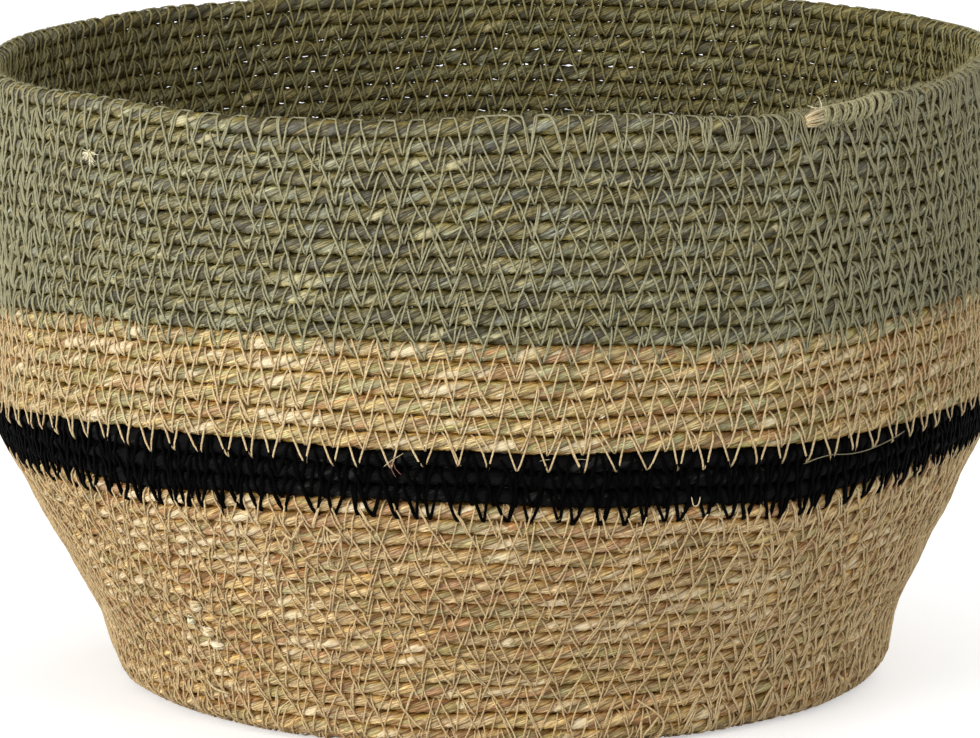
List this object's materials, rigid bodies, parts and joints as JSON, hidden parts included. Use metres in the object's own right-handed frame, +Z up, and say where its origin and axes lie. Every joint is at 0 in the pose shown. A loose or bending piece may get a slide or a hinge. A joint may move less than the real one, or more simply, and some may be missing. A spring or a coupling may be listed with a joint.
{
  "type": "storage basket",
  "caption": "Round open storage basket, coiled from sewn seagrass rope, flat base, flared lower wall, near-upright upper wall, with green, straw, black and straw bands.",
  "frame": {"origin": "centre of the underside of the base, on the surface that the basket stands on", "axes": "+Z up out of the mouth, -Y towards the side that the picture shows"},
  "size_m": [0.3218, 0.3218, 0.2001],
  "materials": {
    "natural_seagrass": "dry twisted seagrass, straw with cream and red-brown flecks",
    "green_seagrass": "dyed twisted seagrass, grey-green, matt",
    "black_seagrass": "dyed twisted seagrass, black with a faint sheen",
    "tan_thread": "tan sewing twine",
    "green_thread": "olive sewing twine",
    "black_thread": "black sewing twine"
  },
  "bodies": {
    "root": {"base_rope": "natural_seagrass", "lower_wall_rope": "natural_seagrass", "black_band_rope": "black_seagrass", "straw_band_rope": "natural_seagrass", "green_band_rope": "green_seagrass"}
  },
  "joints": []
}
